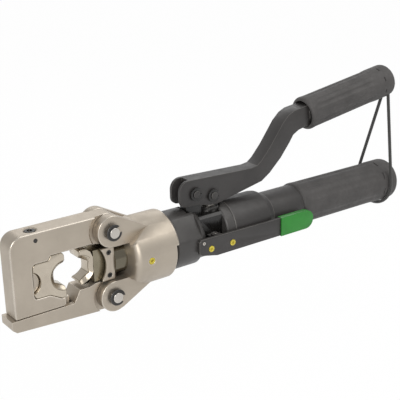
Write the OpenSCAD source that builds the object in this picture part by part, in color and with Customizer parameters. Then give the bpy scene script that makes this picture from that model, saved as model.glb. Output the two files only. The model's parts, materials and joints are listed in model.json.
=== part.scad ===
// Hand hydraulic crimping tool with a flip-open head, a pump lever and a fixed handle.
// The ram axis is X, running from the head's front face (X = 0) to the grip's end.
// Z is up, towards the pump lever. Y is across the tool. Millimetres.

/* [Jaws] */
// Thickness of the upper jaw across the tool
jaw_t = 16.6; // [14:0.2:20]
// Height of the upper jaw's top above the ram axis
jaw_top = 37.4; // [36:0.2:40]
// Depth of the seam between the jaw's foot and the latch arm
seam_drop = 23.9; // [23:0.1:25]
// Thickness of the jaw's front wall, up to the die seat
front_wall = 15.8; // [14:0.2:17]
// Height of the die window above the ram axis
window_h = 17.6; // [17:0.1:18.2]
// How much lower the window is over the die's seat
seat_step = 3.4; // [2:0.1:4]
// Depth of the die seat below the ram axis
seat_drop = 12.4; // [12:0.1:13]
// Length of the jaw's foot
foot_l = 40.2; // [39:0.2:41]
// Thickness of the latch hook under the foot
hook_t = 8; // [6:0.5:10]
// Depth of the latch hook below the seam
hook_drop = 6.4; // [5:0.2:7]

/* [Latch arm] */
// Thickness of the latch arm
latch_t = 17.6; // [16:0.2:20]
// How far the latch arm stands out in front of the jaw
latch_nose = 3.2; // [1:0.2:5]
// Depth of the latch arm at its front end
latch_front_h = 9.2; // [8.6:0.2:11]
// Depth of the latch arm at its knuckle
latch_rear_h = 13; // [12.4:0.2:13.4]

/* [Hinges] */
// Distance of both hinge pins from the head's front face
hinge_x = 77.9; // [76:0.1:80]
// Height of each hinge pin off the ram axis
hinge_z = 25.7; // [25:0.1:26.5]
// Diameter of the hinge pins
pin_d = 8; // [6:0.5:9]
// Radius of the knuckles and of the fork's ears
knuckle_r = 12; // [11:0.1:12.4]
// Width across the fork's ears
fork_w = 28.7; // [27:0.1:32]
// Thickness of the jaw and latch knuckles between the ears
knuckle_t = 12.4; // [10:0.2:14]

/* [Dies] */
// Thickness of both dies
die_t = 16; // [15:0.2:16.4]
// Width across the flats of the closed hexagonal nest
nest_af = 16; // [10:0.5:17]
// Width of the crimping land
land_t = 9; // [5:0.5:12]
// Distance of the fixed die's face from the head's front face
die_face_x = 41; // [40:0.2:42]
// Opening between the dies with the ram drawn back
die_opening = 12; // [10:0.5:13]
// Length of the ram die from its face to its flat back
ram_die_l = 11; // [10.6:0.2:12]
// Height of the ram die above the ram axis
ram_die_up = 15.6; // [14:0.2:16]
// Depth of the ram die below the ram axis
ram_die_down = 11.8; // [11.6:0.1:12]

/* [Head barrel] */
// Outer diameter of the barrel
barrel_d = 54; // [50:0.5:60]
// Front face of the barrel, between the ears
barrel_x = 90.5; // [90.4:0.1:92]
// Rear rim of the barrel
barrel_rear_x = 129.6; // [128:0.1:131]
// Step of the rear rim that the swivel stop runs in
rim_step = 3.4; // [2.5:0.1:4]
// Bore of the ram cylinder
bore_d = 32; // [30:0.5:33]
// Diameter of the ram rod
rod_d = 26; // [24:0.5:27]
// Outer diameter of the swivel spigot
spigot_d = 40.8; // [39:0.2:42]
// Length of the swivel spigot
spigot_l = 17.4; // [16:0.2:18]

/* [Ram] */
// Length of the piston
piston_l = 12; // [10:0.5:12.5]
// Front face of the piston with the ram drawn back
piston_x = 121; // [120:0.5:121.5]
// Length of the ram head block
ram_head_l = 10.6; // [9:0.2:12]
// Width of the ram head block, over the cover plate
ram_head_w = 22; // [20:0.5:24]

/* [Pump body] */
// Diameter of the collar behind the barrel
collar_d = 46.4; // [45:0.2:50]
// Length of the collar
collar_l = 22.6; // [22:0.2:24]
// Distance of the collar's wrench flats from the axis
collar_flat = 21.3; // [20.8:0.1:23]
// Width of the pump block behind the collar
block_w = 27; // [24:0.5:30]
// Rear end of the pump block, where the flange starts
block_rear_x = 179; // [178:0.5:181]
// Diameter of the flange in front of the tank
flange_d = 42; // [40:0.5:44]
// Length of the flange
flange_l = 8; // [6:0.5:10]

/* [Pump lever] */
// Width of the lever
lever_w = 13.6; // [12.6:0.2:16]
// Thickness of each lever cheek
cheek_t = 2.4; // [2:0.1:3]
// Distance of the lever's pivot from the head's front face
pivot_x = 158.2; // [157:0.1:160]
// Height of the lever's pivot
pivot_z = 34.9; // [34:0.1:36]
// Distance from the pivot back to the plunger pin
link_dx = 17; // [16:0.1:18]
// Drop from the pivot down to the plunger pin
link_dz = 4.6; // [4:0.1:5]
// Diameter of the lever's two pins
lever_pin_d = 6; // [5:0.5:7]
// Height of the lever bar, entering its grip
bar_h = 17.4; // [14:0.2:18]
// Diameter of the pump plunger
plunger_d = 10; // [8:0.5:11]

/* [Grips] */
// Diameter of the lever's grip
top_grip_d = 28; // [26:0.5:32]
// Length of the lever's grip
top_grip_l = 101.5; // [95:0.5:110]
// Slope of the lever's grip, in degrees
top_grip_slope = 9; // [6:0.5:12]
// Diameter of the tang inside the lever's grip
tang_d = 16; // [14:0.5:18]
// Diameter of the fixed handle's grip
low_grip_d = 36.5; // [34:0.5:38]
// Length of the fixed handle's grip
low_grip_l = 116.5; // [110:0.5:120]
// Diameter of the retaining cord
cord_d = 3; // [2:0.1:3.2]

/* [Tank] */
// Diameter of the tank housing
tank_d = 42.4; // [41:0.2:45]
// Diameter of the housing's neck
neck_d = 34.6; // [33:0.2:35]
// Diameter of the core tube inside the grip
core_d = 28; // [26:0.5:30]
// Bore of the core tube
tank_bore_d = 23; // [20:0.5:24]
// Where the neck ends and the grip starts
grip_x = 264.5; // [262:0.5:268]

/* [Release lever] */
// Thickness of the release blade
blade_t = 2.6; // [2:0.1:3]
// Distance of the blade's inner face from the axis plane
blade_y = 23.4; // [23.3:0.1:24.5]
// Height of the blade's top edge at its front end
blade_top = 4.4; // [4:0.1:5]
// Depth of the blade's bottom edge
blade_bottom = 12; // [11.8:0.1:13]
// Distance of the blade's hinge pin from the head's front face
blade_pivot_x = 167; // [166:0.5:168]
// Rear end of the green tip
tip_end_x = 265.3; // [262:0.1:266]
// Length of the green tip
tip_l = 35.5; // [30:0.5:38]

/* [Hidden] */

// Clearances and small shared sizes
fit = 0.05;        // radial clearance of a running fit
seat = 0.25;       // gap between pieces that only rest on each other
gap = 0.3;         // side gap between moving pieces
eps = 0.01;
far = 200;
round_fn = 96;
small_fn = 48;

// Colours, as the photograph shows them
nickel = [0.72, 0.67, 0.60];
bright = [0.78, 0.76, 0.72];
black = [0.13, 0.13, 0.14];
rubber = [0.17, 0.17, 0.16];
green = [0.20, 0.50, 0.22];
yellow = [0.85, 0.75, 0.15];
dark_steel = [0.25, 0.25, 0.27];

// Points of an arc about (cx, cz), from angle a0 to angle a1
function arc(cx, cz, r, a0, a1, n = 8) =
    [for (i = [0:n]) let (a = a0 + (a1 - a0) * i / n) [cx + r * cos(a), cz + r * sin(a)]];

// A flat piece: its outline lies in XZ and it is t thick across Y, centred on y
module slab(t, y = 0) {
    translate([0, y + t / 2, 0]) rotate([90, 0, 0]) linear_extrude(t) children();
}

// A flat piece with its outline in XY, from z upwards
module deck(t, z = 0) {
    translate([0, 0, z]) linear_extrude(t) children();
}

// A turned piece about X, from points given as [x, radius]
module turned(points, fn = round_fn) {
    rotate([0, 90, 0]) rotate_extrude($fn = fn) polygon([for (p = points) [p[1], p[0]]]);
}

// Round bars along X, Y and Z
module bar_x(x0, x1, r, y = 0, z = 0, fn = small_fn) {
    translate([x0, y, z]) rotate([0, 90, 0]) cylinder(h = x1 - x0, r = r, $fn = fn);
}
module bar_y(y0, y1, r, x, z, fn = small_fn) {
    translate([x, y0, z]) rotate([-90, 0, 0]) cylinder(h = y1 - y0, r = r, $fn = fn);
}
module bar_z(z0, z1, r, x, y = 0, fn = small_fn) {
    translate([x, y, z0]) cylinder(h = z1 - z0, r = r, $fn = fn);
}

// A box from its low corner to its high corner
module block(low, high) {
    translate(low) cube(high - low);
}

// Both the upper and the lower half of the head
module both_halves() {
    children();
    mirror([0, 0, 1]) children();
}

// A round wire swept along points: one closed polyhedron, with rings square to the path
function unit(v) = v / norm(v);
function tangent(p, i, loop) =
    let (n = len(p), a = loop ? p[(i + n - 1) % n] : p[max(i - 1, 0)],
         b = loop ? p[(i + 1) % n] : p[min(i + 1, n - 1)]) unit(b - a);
function ring(c, t, up, r, sides) =
    let (u = unit(cross(t, up)), v = cross(u, t))
    [for (k = [0:sides - 1]) c + r * (cos(360 * k / sides) * u + sin(360 * k / sides) * v)];
module sweep(path, r, up, sides = 8) {
    n = len(path);
    pts = [for (i = [0:n - 1]) each ring(path[i], tangent(path, i, false), up[i], r, sides)];
    walls = [for (i = [0:n - 2], k = [0:sides - 1])
        let (a = i * sides + k, b = i * sides + (k + 1) % sides) each
        [[a, b, b + sides], [a, b + sides, a + sides]]];
    caps = [[for (k = [sides - 1:-1:0]) k], [for (k = [0:sides - 1]) (n - 1) * sides + k]];
    polyhedron(pts, concat(walls, caps), convexity = 6);
}

// A coil spring about Z: mean radius, wire radius, free height and turns.
// It prints the least gap between neighbouring turns, measured on its points.
module coil(mean_r, wire_r, h, turns, per_turn = 8) {
    steps = turns * per_turn;
    path = [for (i = [0:steps])
        [mean_r * cos(360 * i / per_turn), mean_r * sin(360 * i / per_turn),
         wire_r + (h - 2 * wire_r) * i / steps]];
    up = [for (i = [0:steps]) [0, 0, 1]];
    least_gap = min([for (i = [0:steps - per_turn]) norm(path[i + per_turn] - path[i])]) - 2 * wire_r;
    echo(least_gap_mm = least_gap);
    sweep(path, wire_r, up, 6);
}

// An E-clip on a pin's end groove, lying in XZ
module e_clip(x, z, y, pin_r, turn) {
    clip_t = 0.9;
    groove_r = pin_r - 0.6;
    translate([x, y - clip_t / 2, z]) rotate([-90, turn, 0]) linear_extrude(clip_t)
        difference() {
            circle(r = pin_r + 2.3, $fn = small_fn);
            circle(r = groove_r + fit, $fn = small_fn);
            translate([0, -pin_r * 0.62]) square([pin_r + 4, pin_r * 1.24]);
        }
}

// A pin across the tool with a groove near each end for its clips
clip_inset = 1.3;
module grooved_pin(x, z, r, half) {
    difference() {
        bar_y(-half, half, r, x, z);
        for (s = [-1, 1])
            translate([x, s * (half - clip_inset), z]) rotate([90, 0, 0]) difference() {
                cylinder(h = 1.1, r = r + 1, center = true, $fn = small_fn);
                cylinder(h = 2, r = r - 0.6, center = true, $fn = small_fn);
            }
    }
}

// Hexagonal nest, centred on the split face
nest_side = nest_af / sqrt(3);
nest_bevel = 3.6;
nest_short = 0.1;
module nest_cut(x) {
    flare = (die_t - land_t) / 2 + eps;
    translate([x, 0, 0]) rotate([90, 30, 0]) {
        cylinder(h = die_t + 2, r = nest_side, center = true, $fn = 6);
        for (s = [0, 1]) mirror([0, 0, s]) translate([0, 0, land_t / 2])
            cylinder(h = flare, r1 = nest_af / 2 - 0.4, r2 = nest_af / 2 + nest_bevel, $fn = round_fn);
    }
}

// Upper jaw: an L-shaped frame that swings on the upper hinge pin
corner_r = 10;
seat_r = 3;
relief_r = knuckle_r + 3.3;
foot_top = 17.3;
foot_slope_x = 28;
relief_top = asin((jaw_top - hinge_z) / relief_r);
relief_low = asin((hinge_z - window_h) / relief_r);
button_x = 19.9;
button_d = 7.8;
button_pin_d = 5;
button_travel = 3;
spring_seat_z = window_h + 3.4;
seat_z = window_h - seat_step;
seat_step_x = 28.4;
cross_pin_d = 3.2;
cross_pin_z = jaw_top - 5.6;
key_r = 9;
key_x = front_wall - 3.4;
hook_front = 37.2;
hook_lean = 3.6;
hook_rear = 45;

module jaw_outline() {
    polygon(concat(
        [[0, -seam_drop]],
        arc(corner_r, jaw_top - corner_r, corner_r, 180, 90, 10),
        arc(hinge_x, hinge_z, relief_r, 180 - relief_top, 180 + relief_low, 14),
        [[seat_step_x + 2, window_h], [seat_step_x, seat_z]],
        arc(front_wall + seat_r, seat_z - seat_r, seat_r, 90, 180),
        arc(front_wall + seat_r, seat_r - seat_drop, seat_r, 180, 270),
        [[foot_slope_x, -seat_drop], [foot_l - 3.2, -foot_top], [foot_l, -foot_top]],
        arc(foot_l - 2, 2 - seam_drop, 2, 0, -90)
    ));
}

module knuckle_arm(z0, z1) {
    reach = hinge_x - relief_r - 4;
    slab(knuckle_t) polygon([[reach, z0], [reach, z1], [hinge_x, hinge_z + knuckle_r - 0.2],
        [hinge_x + 4, hinge_z], [hinge_x, hinge_z - knuckle_r + 0.2]]);
    bar_y(-knuckle_t / 2, knuckle_t / 2, knuckle_r, hinge_x, hinge_z, round_fn);
}

module hook() {
    low = seam_drop + hook_drop;
    slab(hook_t) polygon([[hook_front - 4, -foot_top - 1], [hook_rear, -foot_top - 1],
        [hook_rear, 2 - low], [hook_rear - 1.5, -low],
        [hook_front + 0.5 + hook_lean * hook_drop / 6.7, -low],
        [hook_front + 0.5, -seam_drop], [hook_front - 4, -seam_drop]]);
}

module upper_jaw() {
    color(nickel) difference() {
        union() {
            slab(jaw_t) jaw_outline();
            knuckle_arm(window_h + 0.2, jaw_top - 0.2);
            hook();
            intersection() {
                bar_y(-die_t / 2 + 2, die_t / 2 - 2, key_r, key_x, 0);
                block([front_wall - 1, -far, -far], [far, far, far]);
            }
        }
        bar_y(-far, far, pin_d / 2 + fit, hinge_x, hinge_z);
        bar_z(spring_seat_z, jaw_top + 1, button_d / 2 + 0.1, button_x);
        bar_z(seat_z - 1, spring_seat_z + eps, button_pin_d / 2 + 0.1, button_x);
        translate([button_x, 0, jaw_top - 1.2])
            cylinder(h = 1.3, r1 = button_d / 2, r2 = button_d / 2 + 2, $fn = small_fn);
        bar_y(-far, far, cross_pin_d / 2 + fit, button_x, cross_pin_z);
    }
}

// Fixed die: slides in from the near side and is held by the button's tip in its T-slot,
// which is open on the far side
die_gap = 0.2;
horn_r = 2.6;
slot_w = 3;
slot_low = seat_z - 3;
slot_y = -button_pin_d / 2 - 0.2;
pocket_low = slot_low - 3.2;
module fixed_die() {
    x0 = front_wall + die_gap;
    z1 = window_h - die_gap;
    z2 = seat_z - die_gap;
    z0 = die_gap - seat_drop;
    foot_z = die_gap - foot_top;
    color(bright) difference() {
        union() {
            slab(die_t) polygon(concat(
                arc(x0 + seat_r, z2 - seat_r, seat_r, 180, 90),
                [[seat_step_x + die_gap, z2], [seat_step_x + 2 + die_gap, z1]],
                arc(die_face_x - horn_r, z1 - horn_r, horn_r, 90, 0), [[die_face_x, z0]],
                arc(x0 + seat_r, z0 + seat_r, seat_r, 270, 180)));
            // front part, which reaches down along the foot's slope
            intersection() {
                slab(die_t) polygon([[foot_slope_x, z0 + 1], [foot_slope_x, z0], [foot_l - 3.2, foot_z],
                    [far, foot_z], [far, z0 + 1]]);
                slab(die_t) polygon([[x0, z0 + 1], [x0, foot_z], [die_face_x - 1, foot_z],
                    [die_face_x, foot_z + 1], [die_face_x, z0 + 1]]);
            }
        }
        nest_cut(die_face_x + nest_short);
        bar_y(-far, far, key_r + 0.2, key_x, 0);
        block([button_x - slot_w / 2, slot_y, slot_low], [button_x + slot_w / 2, die_t, z1 + 1]);
        block([button_x - button_pin_d / 2 - 0.2, slot_y, pocket_low],
              [button_x + button_pin_d / 2 + 0.2, die_t, slot_low + eps]);
        bar_z(slot_low, z1 + 1, button_pin_d / 2 + 0.1, button_x);
    }
}

// Die button: pressing it lines its thin neck up with the die's slot
button_neck_d = 2.6;
tip_low = slot_low + 0.2;
tip_high = seat_z - 0.3;
stem_low = jaw_top - 8.4;
module die_button() {
    color(dark_steel) difference() {
        union() {
            bar_z(tip_low, tip_high, button_pin_d / 2, button_x);
            bar_z(tip_high - eps, tip_high + 3.3, button_neck_d / 2, button_x);
            bar_z(tip_high + 3.2, stem_low + eps, button_pin_d / 2, button_x);
            bar_z(stem_low, jaw_top - 0.4, button_d / 2, button_x);
        }
        block([button_x - cross_pin_d / 2 - 0.15, -far, cross_pin_z - cross_pin_d / 2 - 0.1],
              [button_x + cross_pin_d / 2 + 0.15, far, cross_pin_z + cross_pin_d / 2 + button_travel + 0.1]);
        translate([button_x, 0, jaw_top - 0.9]) cylinder(h = 1, r = 2.3, $fn = 6);
    }
}

module die_button_spring() {
    color(bright) translate([button_x, 0, spring_seat_z + 0.1])
        coil(button_pin_d / 2 + 0.75, 0.4, stem_low - spring_seat_z - 0.2, 4.5);
}

module die_button_cross_pin() {
    color(dark_steel) bar_y(0.3 - jaw_t / 2, jaw_t / 2 - 0.3, cross_pin_d / 2, button_x, cross_pin_z);
}

// Latch arm: swings on the lower hinge pin and its pocket takes the jaw's hook
latch_top = seam_drop + seat;
latch_step_x = 46.4;
latch_block_z = -14.8;
latch_rise_x = 59;
latch_rise = 1.6;
module latch_outline() {
    rear_low = hinge_z + latch_rear_h - 2;
    rear_z = latch_block_z + latch_rise;
    a_top = asin((hinge_z + rear_z) / relief_r);
    a_low = asin((rear_low - hinge_z) / relief_r);
    polygon(concat(
        [[-latch_nose, -latch_top], [latch_step_x, -latch_top], [latch_step_x + 1, 2 - latch_top],
         [latch_step_x + 5.2, latch_block_z], [latch_rise_x, latch_block_z],
         [latch_rise_x + 6, rear_z]],
        arc(hinge_x, -hinge_z, relief_r, 180 - a_top, 180 + a_low, 14),
        [[0, -seam_drop - latch_front_h]],
        [[-latch_nose, 2.6 - seam_drop - latch_front_h]]
    ));
}

module latch_arm() {
    reach = hinge_x - relief_r - 4;
    pocket_low = seam_drop + hook_drop + 0.5;
    color(nickel) difference() {
        union() {
            slab(latch_t) latch_outline();
            bar_y(-knuckle_t / 2, knuckle_t / 2, knuckle_r, hinge_x, -hinge_z, round_fn);
            slab(knuckle_t) polygon([[reach, latch_block_z - 0.4], [hinge_x, latch_block_z - 0.2],
                [hinge_x + 4, -hinge_z], [hinge_x, 0.2 - hinge_z - knuckle_r],
                [reach, 1 - hinge_z - knuckle_r]]);
        }
        bar_y(-far, far, pin_d / 2 + fit, hinge_x, -hinge_z);
        slab(hook_t + 0.8) polygon([[hook_front, 1 - seam_drop],
            [hook_front, -latch_top], [hook_front + hook_lean, -pocket_low],
            [latch_step_x + eps, -pocket_low], [latch_step_x + eps, 1 - seam_drop]]);
    }
}

// Fork barrel: ram cylinder, with two pairs of ears in front and a swivel spigot behind
ear_slope = 28;
slot_t = knuckle_t + 2 * gap;
slot_end = hinge_x + knuckle_r + 1.8;
flat_z = knuckle_r + 2.2;
barrel_r = barrel_d / 2;
spigot_r = spigot_d / 2;
spigot_end = barrel_rear_x + spigot_l;
rod_bore_end = barrel_x + 10.5;
wiper_x = barrel_x + 2;
wiper_l = 3;
ring_x = barrel_rear_x + 8.4;
ring_wire_r = 0.9;
ring_r = spigot_r - 0.3;
notch_z = 6;
rim_r = 5;
lock_x = 103.2;
lock_r = 2.55;
lock_depth = 5;

module ears() {
    slope_end = barrel_rear_x - 18;
    tx = hinge_x + knuckle_r * sin(ear_slope);
    tz = hinge_z + knuckle_r * cos(ear_slope);
    low = hinge_z - knuckle_r;
    bar_y(-fork_w / 2, fork_w / 2, knuckle_r + 0.07, hinge_x, hinge_z, round_fn);
    slab(fork_w) polygon([[tx, tz], [slope_end, tz - (slope_end - tx) * tan(ear_slope)],
        [slope_end, low], [hinge_x, low], [hinge_x, hinge_z]]);
}

module fork_barrel() {
    color(nickel) difference() {
        union() {
            turned(concat([[barrel_x, 0]], arc(barrel_x + rim_r, barrel_r - rim_r, rim_r, 180, 90),
                [[barrel_rear_x - 1.5, barrel_r], [barrel_rear_x, barrel_r - 1.5],
                 [barrel_rear_x, spigot_r], [spigot_end, spigot_r], [spigot_end, 0]]));
            both_halves() ears();
        }
        both_halves() {
            block([0, -slot_t / 2, 12], [slot_end, slot_t / 2, far]);
            block([0, -slot_t / 2, barrel_r], [slot_end + 12, slot_t / 2, far]);
            // milled flats beside the ears
            for (s = [-1, 1]) slab(far, s * (far / 2 + fork_w / 2)) polygon([[60, flat_z],
                [barrel_x + 0.5, flat_z], [barrel_x + 11, flat_z + 6.4], [barrel_x + 18.5, flat_z + 9],
                [barrel_x + 24, 60], [60, 60]]);
            // groove where the ears' slope meets the barrel's crown
            slab(far) polygon([[barrel_x + 8, 28.8], [barrel_x + 13.5, 25.4],
                [barrel_x + 17.5, 27.4], [barrel_x + 17.5, 60], [barrel_x + 8, 60]]);
        }
        bar_x(0, rod_bore_end + eps, rod_d / 2 + fit, fn = round_fn);
        bar_x(rod_bore_end, far, bore_d / 2, fn = round_fn);
        bar_x(wiper_x, wiper_x + wiper_l, rod_d / 2 + 1.7, fn = round_fn);
        translate([ring_x, 0, 0]) rotate([0, 90, 0]) rotate_extrude($fn = round_fn)
            translate([ring_r, 0]) circle(r = ring_wire_r + 0.1, $fn = 24);
        both_halves() bar_y(-far, far, pin_d / 2 + fit, hinge_x, hinge_z);
        // stepped lower rim for the swivel stop
        difference() {
            block([barrel_rear_x - rim_step, -far, -far], [barrel_rear_x + eps, far, notch_z]);
            bar_x(0, far, spigot_r, fn = round_fn);
        }
        bar_y(-barrel_r - 1, lock_depth - barrel_r, lock_r + fit, lock_x, 0);
    }
}

module swivel_wire_ring() {
    color(bright) translate([ring_x, 0, 0]) rotate([0, 90, 0]) rotate_extrude($fn = round_fn)
        translate([ring_r, 0]) circle(r = ring_wire_r, $fn = 24);
}

module barrel_lock_screw() {
    color(yellow) difference() {
        bar_y(0.2 - barrel_r, lock_depth - 0.1 - barrel_r, lock_r, lock_x, 0);
        bar_y(-barrel_r, 1.6 - barrel_r, 1.2, lock_x, 0, 6);
    }
}

module rod_wiper() {
    color(rubber) turned([[wiper_x + 0.1, rod_d / 2 + 0.1], [wiper_x + wiper_l - 0.1, rod_d / 2 + 0.1],
        [wiper_x + wiper_l - 0.1, rod_d / 2 + 1.65], [wiper_x + 0.1, rod_d / 2 + 1.65]]);
}

// Hinge pins and their clips
pin_half = fork_w / 2 + 4;
clip_gap = 0.1;
module upper_hinge_pin() {
    color(bright) grooved_pin(hinge_x, hinge_z, pin_d / 2, pin_half);
}
module lower_hinge_pin() {
    color(bright) grooved_pin(hinge_x, -hinge_z, pin_d / 2, pin_half);
}
module upper_hinge_clips() {
    color(dark_steel) for (s = [-1, 1])
        e_clip(hinge_x, hinge_z, s * (pin_half - clip_inset), pin_d / 2, -20);
}
module lower_hinge_clips() {
    color(dark_steel) for (s = [-1, 1])
        e_clip(hinge_x, -hinge_z, s * (pin_half - clip_inset), pin_d / 2, 20);
}

// Ram: rod and piston in one piece, with a head block that carries the die holder
ram_die_x = die_face_x + die_opening;
holder_x = ram_die_x + ram_die_l + die_gap;
holder_r = 20.5;
ram_head_x = holder_x + 5.4;
ram_head_end = ram_head_x + ram_head_l;
ram_head_h = 25.6;
plate_t = 1.6;
seal_x = piston_x + 4;
seal_l = 3.4;
seal_r = 13.4;
bulge_x = holder_x + 9;
plate_screw_r = 2;
plate_screw_spots = [[ram_head_x + 6.2, 9], [ram_head_x + 6.2, -9]];

// The holder's round back and the seat for it share one centre line
module holder_back(extra) {
    bar_y(-far, far, holder_r + extra, bulge_x - holder_r, 0, round_fn);
}

module ram_piston() {
    color(bright) difference() {
        union() {
            turned([[piston_x, 0], [piston_x, bore_d / 2 - 1 - fit], [piston_x + 1, bore_d / 2 - fit],
                [piston_x + piston_l, bore_d / 2 - fit], [piston_x + piston_l, 0]]);
            bar_x(ram_head_end, piston_x + eps, rod_d / 2, fn = round_fn);
            block([ram_head_x, plate_t + 0.1 - ram_head_w / 2, -ram_head_h / 2],
                  [ram_head_end + eps, ram_head_w / 2, ram_head_h / 2]);
        }
        holder_back(0.15);
        difference() {
            bar_x(seal_x, seal_x + seal_l, bore_d / 2 + 1, fn = round_fn);
            bar_x(seal_x - 1, seal_x + seal_l + 1, seal_r, fn = round_fn);
        }
        for (p = plate_screw_spots)
            bar_y(-ram_head_w, 6 - ram_head_w / 2, plate_screw_r + fit, p[0], p[1]);
    }
}

module piston_seal() {
    color(rubber) turned([[seal_x + 0.1, seal_r + 0.1], [seal_x + seal_l - 0.1, seal_r + 0.1],
        [seal_x + seal_l - 0.1, bore_d / 2 - fit], [seal_x + 0.1, bore_d / 2 - fit]]);
}

module ram_return_spring() {
    h = piston_x - rod_bore_end - 0.4;
    color(bright) translate([rod_bore_end + 0.2, 0, 0]) rotate([0, 90, 0])
        coil((rod_d + bore_d) / 4, (bore_d - rod_d) / 4 - 0.35, h, 3.5, 24);
}

module die_holder() {
    color(nickel) intersection() {
        block([holder_x, -die_t / 2, -12.4], [bulge_x + 1, die_t / 2, 12.4]);
        holder_back(0);
    }
}

module ram_die() {
    x1 = ram_die_x + ram_die_l;
    color(bright) difference() {
        slab(die_t) polygon([[ram_die_x, 1 - ram_die_down], [ram_die_x + 1, -ram_die_down],
            [ram_die_x + 5, -ram_die_down], [x1 - 2.6, 3.6 - ram_die_down], [x1, 8 - ram_die_down],
            [x1, ram_die_up - 8], [x1 - 2.2, ram_die_up - 2.6], [x1 - 5, ram_die_up - 0.4],
            [ram_die_x + 1, ram_die_up], [ram_die_x, ram_die_up - 1]]);
        nest_cut(ram_die_x - nest_short);
    }
}

module retainer_plate() {
    color(nickel) difference() {
        block([ram_head_x, -ram_head_w / 2, -ram_head_h / 2],
              [ram_head_end, plate_t - ram_head_w / 2, ram_head_h / 2]);
        holder_back(0.15);
        for (p = plate_screw_spots) bar_y(-far, far, plate_screw_r + fit, p[0], p[1]);
    }
}

module plate_screws() {
    color(dark_steel) for (p = plate_screw_spots) difference() {
        bar_y(0.3 - ram_head_w / 2, 5.6 - ram_head_w / 2, plate_screw_r, p[0], p[1]);
        bar_y(-ram_head_w / 2, 1.8 - ram_head_w / 2, 1.1, p[0], p[1], 6);
    }
}

// Pump body: collar, pump block, lever lug, release boss and tank flange
collar_x = barrel_rear_x + gap;
collar_end = collar_x + collar_l;
collar_r = collar_d / 2;
socket_end = spigot_end + gap;
plug_x = piston_x + piston_l + gap;
plug_r = bore_d / 2 - fit;
plug_seal_x = plug_x + 4;
block_top = 17.2;
block_r = 20.5;
lug_t = lever_w - 2 * cheek_t - 0.6;
lug_r = 7.4;
link_x = pivot_x + link_dx;
link_z = pivot_z - link_dz;
lever_pin_r = lever_pin_d / 2;
plunger_r = plunger_d / 2;
plunger_low = -6.2;
gland_low = 13.2;
gland_r = 8;
seal_low = 9.2;
boss_y = blade_y - 3.8;
boss_low = -9.2;
boss_high = 1.7;
hinge_pin_r = 1.75;
stud_z = -5.2;
stud_y = blade_y - 2.4;
stop_x = 158.8;
valve_x = 179.9;
valve_r = 1.5;
flange_end = block_rear_x + flange_l;
spout_r = 18.4;
passage_z = -9;
delivery_x = link_x - 12;
intake_x = link_x + 8;
relief_x = link_x - 10.6;
relief_z = passage_z + 2;
relief_in = 4;
tank_bore_r = tank_bore_d / 2;
fitting_r = 6;

module collar() {
    difference() {
        turned([[collar_x, spigot_r + fit], [collar_x, collar_r - 0.8], [collar_x + 0.8, collar_r],
            [collar_end, collar_r], [collar_end + 5, block_r - 0.2], [collar_end + 5, 0],
            [socket_end, 0], [socket_end, spigot_r + fit]]);
        for (s = [-1, 1]) rotate([s * 53, 0, 0])
            block([collar_x - 1, -far, collar_flat], [collar_end + eps, far, far]);
        // clearance under the lever's cheeks
        block([socket_end + 1, -lever_w / 2 - 1.4, 19.2], [collar_end + 6, lever_w / 2 + 1.4, far]);
    }
}

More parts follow.
